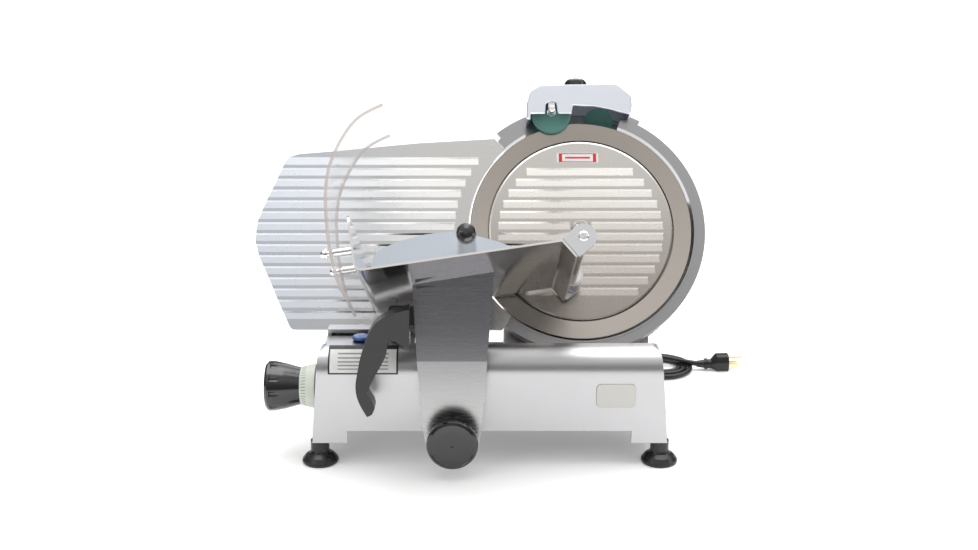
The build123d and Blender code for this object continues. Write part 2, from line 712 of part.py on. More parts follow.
with BuildPart() as slide_block:
    block(MID + KNOB_X - 34, MID + KNOB_X + 34, BY - 166, BY - 122, 56, 92)
    block(MID + KNOB_X - 34, MID + KNOB_X + 34, BY - 173, BY - 160, 84, 92)
    block(MID + KNOB_X - 26, MID + KNOB_X + 26, BY - 166, BY - 146, 26, 58)
    block(MID + KNOB_X - 26, MID + KNOB_X + 26, BY - 200, BY - 146, 26, 41)
    block(MID + KNOB_X - 26, MID + KNOB_X + 26, BY - 200, BY - 191, 26, 62)
    with BuildSketch(Plane.YZ.offset(MID + KNOB_X - 40)):
        with Locations((BY + ROD_Y, ROD_Z)):
            Circle(8.06)
    extrude(amount=80, mode=Mode.SUBTRACT)
    with BuildSketch(Plane.XZ.offset(-(BY - 188))):
        with Locations((MID + KNOB_X, KNOB_Z)):
            Circle(4.0)
    extrude(amount=14, mode=Mode.SUBTRACT)
save(slide_block, "slide_block")


with BuildPart() as guide_rollers:
    for y, off in ((BAR_Y - 3 - 6.2, 0), (BAR_Y + 3 + 6.2, 0)):
        for dx in (-20, 20):
            turned([(0, 92), (2.5, 92), (2.5, 96.5), (6, 96.5), (6, 108), (0, 108)],
                   z_axis_plane(MID + KNOB_X + dx, BY + y))
save(guide_rollers, "guide_rollers")

with BuildPart() as lock_knob:
    y0 = BY + ARM_Y - 0.4
    turned([(0, y0 - 28), (20, y0 - 28.4), (27.5, y0 - 27.8), (28.5, y0 - 28.6), (31, y0 - 27.4),
            (32.2, y0 - 25), (32.2, y0 - 20), (29, y0 - 17), (24.5, y0 - 15), (23, y0 - 7),
            (24, y0), (0, y0)], y_axis_plane(MID + KNOB_X, KNOB_Z))
    with BuildSketch(Plane.XZ.offset(-y0)):
        with Locations((MID + KNOB_X, KNOB_Z)):
            with PolarLocations(27.5, 8):
                Circle(5)
    extrude(amount=15, mode=Mode.SUBTRACT)
    turned([(0, y0 - 2), (3.95, y0 - 2), (3.95, BY - 191.5), (0, BY - 191.5)],
           y_axis_plane(MID + KNOB_X, KNOB_Z))
save(lock_knob, "lock_knob")

with BuildPart() as tray:
    with BuildSketch(tray_plane(TRAY_BACK)):
        with BuildLine():
            FilletPolyline((-SHEET / 2, 67), (-SHEET / 2, -SHEET / 2), (TRAY_W, -SHEET / 2), (251.4, -22.5),
                           radius=[9, 3])
        trace(line_width=SHEET)
    extrude(amount=TRAY_FRONT - TRAY_BACK)
    flange = Plane(origin=pt(TRAY_U, TRAY_V, 150) + ACROSS * TRAY_W, x_dir=FEED,
                   z_dir=(ACROSS * math.sin(math.radians(57.7))
                          - ACROSS.cross(FEED) * math.cos(math.radians(57.7))))
    with BuildSketch(flange.offset(-10)):
        with Locations((0, -19)):
            Rectangle(12, 10)
    extrude(amount=20, mode=Mode.SUBTRACT)
    top_corners = tray.edges().filter_by(lambda e: abs(e.length - SHEET) < 0.2).filter_by(
        lambda e: (Vector(e.center()) - pt(TRAY_U, TRAY_V, 0)).dot(ACROSS.cross(FEED) * -1) > 60)
    fillet(top_corners, 14.0)
save(tray, "food_tray")

GUARD = [(-255, 109.5), (-261.7, 106.3), (-286.7, 90.8), (-301, 72), (-313.1, 47.3), (-319.5, 27),
         (-322, 8.7),
         (-322.6, -8), (-321.7, -25), (-319.8, -46), (-316.8, -67.2), (-312, -89), (-306.1,
                                                                                    -109), (-295, -133)]
GUARD_W = 72.0, 194.0
STUD_W = 184.0, 84.0

with BuildPart() as hand_guard:
    with BuildSketch(blade_plane(GUARD_W[0])):
        with BuildLine():
            Spline(*GUARD)
        trace(line_width=4.0)
    extrude(amount=GUARD_W[1] - GUARD_W[0])
    for w in STUD_W:
        with BuildSketch(Plane(origin=pt(TRAY_U, TRAY_V, w) - ACROSS * 60 + ACROSS.cross(FEED) * -44,
                               x_dir=FEED, z_dir=ACROSS)):
            Circle(3.6)
        extrude(amount=50, mode=Mode.SUBTRACT)
save(hand_guard, "hand_guard")


def side_turned(points, w, height):
    """Turned part lying across the tray; points are (radius, distance right of the tray wall)."""
    plane = Plane(origin=pt(TRAY_U, TRAY_V, w) + ACROSS.cross(FEED) * -height, x_dir=FEED,
                  z_dir=FEED.cross(ACROSS))
    turned(points, plane)


with BuildPart() as guard_studs:
    for w in STUD_W:
        side_turned([(0, -2.5), (5, -2.5), (5, -29.8), (3.4, -29.8), (3.4, -37.6), (7.5, -37.6),
                     (7.5, -39.1),
                     (5.2, -39.1), (5.2, -42.6), (3, -45.6), (0, -45.6)], w, 44)
save(guard_studs, "guard_studs")

HANDLE = [(-96, 225), (-110, 221), (-124, 215.5), (-136, 207.5), (-143, 198), (-148.3, 186), (-152.3, 174),
          (-156.4, 161), (-159.5, 146), (-162.6, 128), (-162.3, 117), (-159, 104.5), (-153,
                                                                                      92), (-149.6, 86),
          (-143.5, 89), (-140, 97), (-141.5, 104), (-149, 117.7), (-144, 129), (-138, 141), (-131, 153),
          (-125.3, 165), (-123.4, 175), (-122, 186), (-113, 184), (-104, 178), (-96, 172)]

with BuildPart() as handle:
    with BuildSketch(Plane.XZ.offset(-(BY - 210))):
        with BuildLine():
            Spline(*[(MID + x - 1, z) for x, z in HANDLE[:13]])
            Polyline(*[(MID + x - 1, z) for x, z in HANDLE[12:]])
            Line((MID + HANDLE[-1][0] - 1, HANDLE[-1][1]), (MID + HANDLE[0][0] - 1, HANDLE[0][1]))
        make_face()
    extrude(amount=22)
    block(MID - 124, MID - 98, BY - 210.1, BY - 190, 190, 215)
    with BuildSketch(upper):
        with Locations((-92, 56)):
            RectangleRounded(64, 24, 3)
    extrude(amount=-7)
save(handle, "carriage_handle")


with BuildPart() as rod_brackets:
    for w in (TRAY_BACK, TRAY_FRONT - 8):
        with BuildSketch(tray_plane(w)):
            with BuildLine():
                Polyline((239.5, 1.0), (255, 12.6), (263, 15), (271, 12.6), (278, 0), (275, -9),
                         (268, -14.5),
                         (255.5, -22.2), (253.0, -21.8), close=True)
            make_face()
            with Locations((ROD_X, 0)):
                Circle(15)
        extrude(amount=8)
    for w in (TRAY_BACK - 1, TRAY_FRONT - 14):
        with BuildSketch(tray_plane(w)):
            with Locations((ROD_X, 0)):
                Circle(7.0)
        extrude(amount=12, mode=Mode.SUBTRACT)
save(rod_brackets, "rod_brackets")

rod_c = pt(TRAY_U, TRAY_V, 0) + ACROSS * ROD_X
rod_plane = Plane(origin=rod_c, x_dir=(1, 0, 0), z_dir=-UP)
with BuildPart() as pusher_rod:
    turned([(0, TRAY_BACK), (7, TRAY_BACK), (7, TRAY_FRONT - 2), (0, TRAY_FRONT - 2)], rod_plane)
save(pusher_rod, "pusher_rod")

with BuildPart() as carriage_screws:
    turned([(0, TRAY_FRONT), (6, TRAY_FRONT), (6, TRAY_FRONT + 0.6), (4.5, TRAY_FRONT + 1.6),
            (0, TRAY_FRONT + 1.9)], rod_plane)
    with BuildSketch(tray_plane(TRAY_FRONT + 0.4)):
        with Locations((ROD_X, 0)):
            Rectangle(7, 1.4, rotation=38)
            Rectangle(1.4, 7, rotation=38)
    extrude(amount=3, mode=Mode.SUBTRACT)
    with BuildSketch(upper.offset(-7)):
        with Locations((-82, 56), (-68, 56)):
            RegularPolygon(5, 6)
    extrude(amount=-4)
    for x in (74, 106, 138):
        for w in (122, 140):
            with BuildSketch(Plane(origin=pt(TRAY_U, TRAY_V, w) + ACROSS * x, x_dir=FEED,
                                   z_dir=ACROSS.cross(FEED) * -1)):
                Circle(4.5)
            extrude(amount=1.2)
save(carriage_screws, "carriage_screws")

# ---------------------------------------------------------------- food pusher
with BuildPart() as pusher_sleeve:
    turned([(7.06, 17), (11.5, 17), (11.5, 19.5), (9.5, 19.5), (9.5, 56.5), (11.5, 56.5), (11.5, 59),
            (7.06, 59)],
           rod_plane)
save(pusher_sleeve, "pusher_sleeve")

with BuildPart() as pusher_arm:
    turned([(9.56, 20), (14, 20), (14, 56), (9.56, 56)], rod_plane)
    with BuildSketch(tray_plane(22)):
        with BuildLine():
            Polyline((257, 11.5), (250, 22), (236, 33), (205, 44), (172, 48), (172, 26), (205, 24),
                     (232, 14),
                     (244, 4), (252, -4), close=True)
        make_face()
        with Locations((ROD_X, 0)):
            Circle(13.9)
            Circle(9.56, mode=Mode.SUBTRACT)
    extrude(amount=9)
    with BuildSketch(tray_plane(14)):
        with Locations((186, 37)):
            Rectangle(24, 18)
    extrude(amount=9)
save(pusher_arm, "pusher_arm")

with BuildPart() as pusher_plate:
    with BuildSketch(tray_plane(10)):
        outline([(3.5, 10), (3.5, 66), (14, 80.5), (43, 89.5), (81, 93.8), (117, 92.5), (146, 83),
                 (176, 69.5),
                 (207, 52), (207, 1.5), (14, 1.5)], [4, 14, 16, 60, 60, 40, 40, 60, 6, 3, 8])
    extrude(amount=4)
    for i in range(9):
        for j in range(2):
            with BuildSketch(tray_plane(10)):
                with Locations((30 + i * 19, 18 + j * 22)):
                    Circle(1.6)
            extrude(amount=-1.2, taper=30)
save(pusher_plate, "pusher_plate")


GRIP_U, GRIP_V = -153.3, -33.0
with BuildPart() as grip_post:
    turned([(0, 14), (13.6, 14), (12.2, 70), (11.2, 100), (0, 100)], feed_axis_plane(GRIP_U, GRIP_V))
save(grip_post, "pusher_grip_post")
with BuildPart() as grip_knob:
    turned([(0, 100), (11.5, 100), (12.8, 103), (13, 112), (12, 117), (9, 120.5), (4, 122), (0, 122.2)],
           feed_axis_plane(GRIP_U, GRIP_V))
save(grip_knob, "pusher_grip_knob")

# ---------------------------------------------------------------- label and badge
with BuildPart() as info_label:
    with BuildSketch(Plane.YZ.offset(MID - 203)):
        with BuildLine():
            a1 = CenterArc((BY - 154, 122), 30.25, 93, 84)
            a2 = CenterArc((BY - 154, 122), 30.0, 177, -84)
            Line(a1 @ 1, a2 @ 0)
            Line(a2 @ 1, a1 @ 0)
        make_face()
    extrude(amount=88)
save(info_label, "info_label")

with BuildPart() as badge:
    with BuildSketch(Plane.XZ.offset(-(BY + BASE_FRONT))):
        with Locations((MID + 159, 95)):
            RectangleRounded(50, 31, 6)
    extrude(amount=1.2)
    chamfer(badge.faces().sort_by(Axis.Y)[0].outer_wire().edges(), 0.5)
save(badge, "front_badge")

# ---------------------------------------------------------------- power cord
with BuildPart() as gland:
    y0 = BY + BASE_REAR
    turned([(CORD_R, y0 - 8), (6.9, y0 - 8), (6.9, y0), (10, y0), (10, y0 + 4), (6.2, y0 + 6),
            (5.4, y0 + 22),
            (CORD_R, y0 + 22)], y_axis_plane(CORD_X, CORD_Z))
save(gland, "cord_gland")

HANK_X, HANK_Y, HANK_TURN = MID + 209.0, BY + 175.0, -12.0
HANK_A, HANK_B, HANK_BAND, HANK_H = 103.0, 47.0, 21.0, 15.4
PLUG_X, PLUG_Y, PLUG_Z, PLUG_YAW = MID + 327.0, BY + 158.0, 9.5, 3.0

route = [(CORD_X, BY + BASE_REAR - 8, CORD_Z), (CORD_X, BY + BASE_REAR + 38, CORD_Z),
         (CORD_X + 8, BY + BASE_REAR + 66, 30), (CORD_X + 24, BY + BASE_REAR + 88, 10)]
radii = []
for i in range(1, len(route) - 1):
    a = Vector(*route[i]) - Vector(*route[i - 1])
    b = Vector(*route[i + 1]) - Vector(*route[i])
    turn = math.radians(a.get_angle(b))
    radii.append(0.45 * min(a.length, b.length) / math.tan(turn / 2))
print("cord radii", [round(r, 1) for r in radii])
yaw = math.radians(PLUG_YAW)
PLUG_DIR = Vector(math.cos(yaw), math.sin(yaw), 0)
plug_plane = Plane(origin=(PLUG_X, PLUG_Y, PLUG_Z), x_dir=(-math.sin(yaw), math.cos(yaw), 0),
                   z_dir=PLUG_DIR)
with BuildPart() as cord_hank:
    with BuildSketch(Plane(origin=(HANK_X, HANK_Y, 0), x_dir=(math.cos(math.radians(HANK_TURN)),
                                                              math.sin(math.radians(HANK_TURN)), 0),
                           z_dir=(0, 0, 1))):
        SlotOverall(2 * HANK_A, 2 * HANK_B)
        SlotOverall(2 * (HANK_A - HANK_BAND), 2 * (HANK_B - HANK_BAND), mode=Mode.SUBTRACT)
    extrude(amount=HANK_H)
    fillet(cord_hank.edges(), 4.0)
    with BuildSketch(plug_plane.offset(-27)):
        Circle(CORD_R)
    extrude(amount=15)
save(cord_hank, "cord_hank")

with BuildPart() as cord_lead:
    with BuildLine() as path:
        FilletPolyline(*route, radius=radii)
    with BuildSketch(Plane(origin=route[0], z_dir=(0, 1, 0))):
        Circle(CORD_R - 0.02)
    sweep(path=path.wires()[0])
    add(cord_hank.part, mode=Mode.SUBTRACT)
print("cord lead length", round(path.wires()[0].length, 1))
save(cord_lead, "cord_lead")

PLUG_FACE = [(-12, -9), (12, -9), (12, 5), (8, 15), (-8, 15), (-12, 5)]
with BuildPart() as plug_body:
    turned([(0, -12), (4.9, -12), (6.4, 0), (8.5, 0), (8.5, 3), (7, 4), (7, 9), (0, 9)],
           Plane(origin=plug_plane.origin, x_dir=plug_plane.x_dir, z_dir=plug_plane.y_dir * -1))
    with BuildSketch(plug_plane.offset(8.9)):
        Circle(7)
    with BuildSketch(plug_plane.offset(17)):
        outline(PLUG_FACE, [4, 4, 4, 6, 6, 4])
    loft()
    with BuildSketch(plug_plane.offset(17)):
        outline(PLUG_FACE, [4, 4, 4, 6, 6, 4])
    extrude(amount=18)
save(plug_body, "plug_body")

with BuildPart() as plug_blades:
    with BuildSketch(plug_plane.offset(35)):
        with Locations((-6.35, -2), (6.35, -2)):
            Rectangle(1.5, 6.3)
    extrude(amount=16.6)
    with BuildSketch(plug_plane.offset(35)):
        with Locations((0, 9.9)):
            Circle(2.4)
    extrude(amount=20.5)
save(plug_blades, "plug_blades")
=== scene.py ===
import bpy
import math
import random
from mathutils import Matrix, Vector


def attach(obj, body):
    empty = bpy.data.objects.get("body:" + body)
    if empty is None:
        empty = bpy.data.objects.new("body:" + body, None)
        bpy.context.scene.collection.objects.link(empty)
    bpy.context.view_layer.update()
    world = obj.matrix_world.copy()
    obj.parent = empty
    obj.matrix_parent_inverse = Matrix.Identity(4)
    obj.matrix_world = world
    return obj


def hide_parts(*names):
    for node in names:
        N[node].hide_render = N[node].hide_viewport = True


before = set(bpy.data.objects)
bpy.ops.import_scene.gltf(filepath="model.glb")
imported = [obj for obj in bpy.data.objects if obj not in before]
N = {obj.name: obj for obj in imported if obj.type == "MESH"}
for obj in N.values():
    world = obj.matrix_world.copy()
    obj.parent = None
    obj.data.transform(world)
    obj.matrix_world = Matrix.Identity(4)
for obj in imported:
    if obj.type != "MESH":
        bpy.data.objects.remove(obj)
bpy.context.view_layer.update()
random.seed(7)

# ---------------------------------------------------------------- the machine's own frame, in metres
BX, BY, BZ = 0.1361, 0.0704, 0.2626
MID = BX - 0.1233
LEAN = math.radians(29.0)
FEED = Vector((0, -math.cos(LEAN), math.sin(LEAN)))
UP = Vector((0, math.sin(LEAN), math.cos(LEAN)))
CORD_D = 0.0077


def pt(u, v, w):
    return Vector((BX + u, 0, 0)) + Vector((0, BY, BZ)) + UP * v + FEED * w


# ---------------------------------------------------------------- materials
def new_material(name):
    mat = bpy.data.materials.new(name)
    mat.use_nodes = True
    tree = mat.node_tree
    return mat, tree.nodes, tree.links, tree.nodes["Principled BSDF"]


def scaled_noise(nodes, links, scale, stretch=(1, 1, 1), detail=3.0):
    coord = nodes.new("ShaderNodeTexCoord")
    mapping = nodes.new("ShaderNodeMapping")
    mapping.inputs["Scale"].default_value = stretch
    noise = nodes.new("ShaderNodeTexNoise")
    noise.inputs["Scale"].default_value = scale
    noise.inputs["Detail"].default_value = detail
    links.new(coord.outputs["Object"], mapping.inputs["Vector"])
    links.new(mapping.outputs["Vector"], noise.inputs["Vector"])
    return noise


def ramp_value(nodes, links, source, low, high):
    out = nodes.new("ShaderNodeMapRange")
    out.inputs["From Min"].default_value = 0.3
    out.inputs["From Max"].default_value = 0.7
    out.inputs["To Min"].default_value = low
    out.inputs["To Max"].default_value = high
    links.new(source, out.inputs["Value"])
    return out.outputs["Result"]


def metal(name, colour, rough, spread=0.04, scale=60.0, stretch=(1, 1, 1), bump=0.0, aniso=0.0,
          specular=None):
    mat, nodes, links, bsdf = new_material(name)
    bsdf.inputs["Base Color"].default_value = (*colour, 1)
    bsdf.inputs["Metallic"].default_value = 1.0
    bsdf.inputs["Anisotropic"].default_value = aniso
    noise = scaled_noise(nodes, links, scale, stretch)
    links.new(ramp_value(nodes, links, noise.outputs["Fac"], rough - spread, rough + spread),
              bsdf.inputs["Roughness"])
    if bump:
        node = nodes.new("ShaderNodeBump")
        node.inputs["Strength"].default_value = bump
        node.inputs["Distance"].default_value = 0.0002
        links.new(noise.outputs["Fac"], node.inputs["Height"])
        links.new(node.outputs["Normal"], bsdf.inputs["Normal"])
    return mat


def plain(name, colour, rough, spread=0.05, scale=80.0, bump=0.0, coat=0.0, specular=0.5):
    mat, nodes, links, bsdf = new_material(name)
    bsdf.inputs["Specular IOR Level"].default_value = specular
    bsdf.inputs["Coat Weight"].default_value = coat
    bsdf.inputs["Coat Roughness"].default_value = 0.06
    noise = scaled_noise(nodes, links, scale)
    mix = nodes.new("ShaderNodeMix")
    mix.data_type = "RGBA"
    mix.inputs["A"].default_value = (*[c * 0.9 for c in colour], 1)
    mix.inputs["B"].default_value = (*[min(1, c * 1.1) for c in colour], 1)
    links.new(noise.outputs["Fac"], mix.inputs["Factor"])
    links.new(mix.outputs["Result"], bsdf.inputs["Base Color"])
    links.new(ramp_value(nodes, links, noise.outputs["Fac"], max(0, rough - spread), rough + spread),
              bsdf.inputs["Roughness"])
    if bump:
        node = nodes.new("ShaderNodeBump")
        node.inputs["Strength"].default_value = bump
        node.inputs["Distance"].default_value = 0.0002
        links.new(noise.outputs["Fac"], node.inputs["Height"])
        links.new(node.outputs["Normal"], bsdf.inputs["Normal"])
    return mat


def math_node(nodes, links, operation, first, second=0.0, third=None):
    """One maths step; each input is a socket or a number."""
    node = nodes.new("ShaderNodeMath")
    node.operation = operation
    for socket, value in zip(node.inputs, (first, second, third)):
        if value is None:
            continue
        if isinstance(value, (int, float)):
            socket.default_value = value
        else:
            links.new(value, socket)
    return node.outputs[0]


def blend(nodes, links, factor, first, second):
    """Mix two colours by a 0 to 1 socket; each colour is a socket or three numbers."""
    mix = nodes.new("ShaderNodeMix")
    mix.data_type = "RGBA"
    links.new(factor, mix.inputs["Factor"])
    for key, value in (("A", first), ("B", second)):
        if isinstance(value, tuple):
            mix.inputs[key].default_value = (*value, 1)
        else:
            links.new(value, mix.inputs[key])
    return mix.outputs["Result"]


def painted_light_fade(mat, direction, centre, reach, low, high):
    """Paint shade and reflection into a metal's colour as a fade along a direction of the part, from low at
    -reach to high at +reach.
    """
    nodes, links = mat.node_tree.nodes, mat.node_tree.links
    coord = nodes.new("ShaderNodeTexCoord")
    offset = nodes.new("ShaderNodeVectorMath")
    offset.operation = "SUBTRACT"
    offset.inputs[1].default_value = centre
    links.new(coord.outputs["Object"], offset.inputs[0])
    dot = nodes.new("ShaderNodeVectorMath")
    dot.operation = "DOT_PRODUCT"
    dot.inputs[1].default_value = direction
    links.new(offset.outputs["Vector"], dot.inputs[0])
    fade = nodes.new("ShaderNodeMapRange")
    fade.interpolation_type = "SMOOTHSTEP"
    fade.inputs["From Min"].default_value = -reach
    fade.inputs["From Max"].default_value = reach
    links.new(dot.outputs["Value"], fade.inputs["Value"])
    links.new(blend(nodes, links, fade.outputs["Result"], low, high),
              nodes["Principled BSDF"].inputs["Base Color"])
    return mat


DISC = pt(0, 0, 0)
ANODISED = metal("anodised_aluminium", (0.50, 0.50, 0.51), 0.34, 0.01, 40.0)
CASTING = metal("polished_casting", (0.74, 0.75, 0.77), 0.28, 0.01, 40.0)
# painted reflection: the gauge plate's colour runs from a cool tint on the left to a warm tint towards the blade
FLUTED = painted_light_fade(metal("fluted_plate", (0.7, 0.7, 0.7), 0.28, 0.01, 40.0), (1, 0, 0),
                DISC - Vector((0.3, 0, 0)), 0.14,
                (0.57, 0.60, 0.65), (0.64, 0.635, 0.62))
# painted shade: the blade cover's colour is darker and warmer towards the bottom
COVER = painted_light_fade(metal("cover_disc", (0.7, 0.7, 0.7), 0.27, 0.01, 40.0), UP, DISC, 0.12,
               (0.44, 0.40, 0.37), (0.66, 0.64, 0.61))
GREY_CASTING = metal("satin_ring", (0.40, 0.40, 0.41), 0.30, 0.01, 40.0)
# painted reflection: the carriage arm's colour is darker towards the top
ARM_STEEL = painted_light_fade(metal("arm_steel", (0.60, 0.60, 0.60), 0.27, 0.02, 500.0, (0.02, 1, 1)), (0, 0, 1),
                   Vector((0, 0, 0.125)), 0.075, (0.46, 0.46, 0.455), (0.185, 0.182, 0.195))
STAINLESS = metal("brushed_stainless", (0.70, 0.69, 0.68), 0.25, 0.03, 900.0, (0.02, 1, 1), 0.02)
MIRROR = metal("polished_stainless", (0.80, 0.79, 0.78), 0.12, 0.03, 60.0)
BLADE = metal("ground_blade", (0.50, 0.46, 0.42), 0.22, 0.02, 40.0, aniso=0.5)
POLISHED = metal("polished_steel", (0.82, 0.81, 0.80), 0.14, 0.02, 200.0)
SHARPENER = metal("sharpener_casting", (0.74, 0.77, 0.83), 0.34, 0.01, 40.0)
DOME = metal("pusher_dome", (0.66, 0.71, 0.78), 0.36, 0.01, 40.0)
BLACK_GLOSS = plain("black_knob", (0.012, 0.012, 0.013), 0.18, 0.04, 60.0, coat=0.6)
BLACK_SATIN = plain("satin_black", (0.016, 0.016, 0.017), 0.34, 0.03, 300.0)
RUBBER = plain("foot_rubber", (0.012, 0.012, 0.013), 0.28, 0.04, 200.0)
CORD = plain("cord_jacket", (0.010, 0.010, 0.011), 0.38, 0.04, 300.0)
STONE = plain("abrasive_stone", (0.11, 0.25, 0.225), 0.85, 0.05, 2400.0, 0.4, specular=0.3)
DIAL_WHITE = plain("dial_white", (0.62, 0.66, 0.58), 0.40, 0.05, 100.0)
BLUE = plain("blue_button", (0.02, 0.10, 0.36), 0.24, 0.05, 100.0, coat=0.4)
LABEL = plain("label_film", (0.80, 0.80, 0.79), 0.42, 0.05, 100.0)
STICKER = plain("sticker_film", (0.80, 0.80, 0.80), 0.42, 0.05, 100.0)
IRON = plain("painted_iron", (0.05, 0.05, 0.055), 0.5, 0.06, 200.0, 0.1)
BRASS = metal("plated_brass", (0.80, 0.68, 0.46), 0.24, 0.04, 200.0)
BADGE = metal("badge_plate", (0.46, 0.45, 0.43), 0.36, 0.02, 200.0)


def box_distance(nodes, links, half_x, half_z):
    """The larger offset from a film's middle as a share of its half size, then both offsets."""
    coord = nodes.new("ShaderNodeTexCoord")
    split = nodes.new("ShaderNodeSeparateXYZ")
    links.new(coord.outputs["Generated"], split.inputs["Vector"])
    x = math_node(nodes, links, "SUBTRACT", split.outputs["X"], 0.5)
    z = math_node(nodes, links, "SUBTRACT", split.outputs["Z"], 0.5)
    far_x = math_node(nodes, links, "MULTIPLY", math_node(nodes, links, "ABSOLUTE", x), 1 / half_x)
    far_z = math_node(nodes, links, "MULTIPLY", math_node(nodes, links, "ABSOLUTE", z), 1 / half_z)
    return math_node(nodes, links, "MAXIMUM", far_x, far_z), x, z


def print_on(mat, mask, ink):
    """Print a colour over a film wherever the mask is 1."""
    nodes, links = mat.node_tree.nodes, mat.node_tree.links
    socket = nodes["Principled BSDF"].inputs["Base Color"]
    paper = socket.links[0].from_socket
    links.new(blend(nodes, links, mask, paper, ink), socket)


def print_sticker(mat):
    nodes, links = mat.node_tree.nodes, mat.node_tree.links
    frame_at = box_distance(nodes, links, 0.5, 0.5)[0]
    inner = math_node(nodes, links, "GREATER_THAN", frame_at, 0.74)
    outer = math_node(nodes, links, "LESS_THAN", frame_at, 0.90)
    bar = math_node(nodes, links, "LESS_THAN", box_distance(nodes, links, 0.30, 0.09)[0], 1.0)
    mask = math_node(nodes, links, "MAXIMUM", math_node(nodes, links, "MULTIPLY", inner, outer), bar)
    print_on(mat, mask, (0.62, 0.030, 0.025))


def print_label(mat):
    nodes, links = mat.node_tree.nodes, mat.node_tree.links
    edge, _, z = box_distance(nodes, links, 0.475, 0.43)
    stripe = math_node(nodes, links, "FRACT", math_node(nodes, links, "MULTIPLY", z, 7.0))
    lines = math_node(nodes, links, "LESS_THAN", stripe, 0.32)
    column_of = math_node(nodes, links, "LESS_THAN", box_distance(nodes, links, 0.36, 0.36)[0], 1.0)
    print_on(mat, math_node(nodes, links, "MULTIPLY", lines, column_of), (0.25, 0.25, 0.26))
    print_on(mat, math_node(nodes, links, "GREATER_THAN", edge, 1.0), (0.02, 0.02, 0.02))


def print_ticks(mat, centre, count, band):
    """Dark ticks round the dial ring; band is the stretch along X that they cover."""
    nodes, links = mat.node_tree.nodes, mat.node_tree.links
    coord = nodes.new("ShaderNodeTexCoord")
    split = nodes.new("ShaderNodeSeparateXYZ")
    links.new(coord.outputs["Object"], split.inputs["Vector"])
    up = math_node(nodes, links, "SUBTRACT", split.outputs["Z"], centre.z)
    back = math_node(nodes, links, "SUBTRACT", split.outputs["Y"], centre.y)
    turn = math_node(nodes, links, "MULTIPLY", math_node(nodes, links, "ARCTAN2", up, back),
                     count / math.tau)
    tick = math_node(nodes, links, "LESS_THAN", math_node(nodes, links, "FRACT", turn), 0.16)
    near = math_node(nodes, links, "GREATER_THAN", split.outputs["X"], band[0])
    far = math_node(nodes, links, "LESS_THAN", split.outputs["X"], band[1])
    inside = math_node(nodes, links, "MULTIPLY", near, far)
    print_on(mat, math_node(nodes, links, "MULTIPLY", tick, inside), (0.03, 0.03, 0.03))


RING_LOW, RING_HIGH = (Vector(v) for v in zip(*[(min(c), max(c)) for c in zip(*[
    N["dial_ring"].matrix_world @ Vector(corner) for corner in N["dial_ring"].bound_box])]))
print_ticks(DIAL_WHITE, (RING_LOW + RING_HIGH) / 2, 40, (RING_LOW.x + 0.002, RING_LOW.x + 0.008))
print_sticker(STICKER)
print_label(LABEL)


def clear_sheet(name, colour, cover, rough):
    """A thin clear sheet: mostly see-through, with a faint tint and its own gloss."""
    mat = plain(name, colour, rough, 0.02, 40.0)
    mat.node_tree.nodes["Principled BSDF"].inputs["Alpha"].default_value = cover
    return mat


CLEAR = clear_sheet("clear_guard", (0.80, 0.80, 0.80), 0.22, 0.06)
CLEAR_EDGE = clear_sheet("clear_guard_edge", (0.50, 0.44, 0.42), 0.80, 0.12)

FINISH = {
    ANODISED: "base_housing column rear_vent_cover base_plate",
    CASTING: "gauge_arm rod_brackets pusher_arm slide_block",
    FLUTED: "gauge_plate",
    COVER: "blade_cover",
    SHARPENER: "sharpener_housing",
    DOME: "pusher_plate",
    GREY_CASTING: "ring_guard blade_hub_pulley",
    BLADE: "blade",
    ARM_STEEL: "carriage_arm",
    STAINLESS: "slice_deflector",
    MIRROR: "food_tray",
    POLISHED: "pusher_rod pusher_sleeve pusher_grip_post cover_tie_rod housing_screws motor_rotor "
              "grinding_spindle "
              "gauge_shaft dial_shaft_cam slide_rails guide_rollers guard_studs carriage_screws spindle_bearings",
    BLACK_GLOSS: "cover_knob sharpener_knob dial_knob stop_button lock_knob pusher_grip_knob switch_box",
    BLACK_SATIN: "carriage_handle",
    RUBBER: "feet drive_belt travel_bumpers cord_gland",
    CORD: "plug_body cord_hank cord_lead",
    STONE: "grinding_stone honing_stone",
    DIAL_WHITE: "dial_ring",
    BLUE: "start_button",
    LABEL: "info_label",
    STICKER: "cover_sticker",
    IRON: "motor_body rail_ends",
    BRASS: "plug_blades",
    BADGE: "front_badge",
    CLEAR: "hand_guard",
}
for finish, names in FINISH.items():
    for name in names.split():
        N[name].data.materials.clear()
        N[name].data.materials.append(finish)

N["hand_guard"].data.materials.append(CLEAR_EDGE)
for face in N["hand_guard"].data.polygons:
    face.material_index = int(abs(face.normal.dot(FEED)) > 0.7)


# ---------------------------------------------------------------- power cord
def smooth_curve(name, points, radius, mat, resolution=8):
    data = bpy.data.curves.new(name, "CURVE")
    data.dimensions = "3D"
    data.resolution_u = resolution
    data.bevel_depth = radius
    data.bevel_resolution = 6
    data.use_fill_caps = True
    spline = data.splines.new("NURBS")
    spline.points.add(len(points) - 1)
    for p, co in zip(spline.points, points):
        p.co = (*co, 1)
    spline.order_u = 3
    spline.use_endpoint_u = True
    data.materials.append(mat)
    obj = bpy.data.objects.new(name, data)
    bpy.context.scene.collection.objects.link(obj)
    return obj


HANK = Vector((MID + 0.209, BY + 0.175, 0))
HANK_TURN = math.radians(-12.0)
HANK_HALF = 0.056
PLUG = Vector((MID + 0.327, BY + 0.158, 0.0095))
PLUG_YAW = math.radians(3.0)


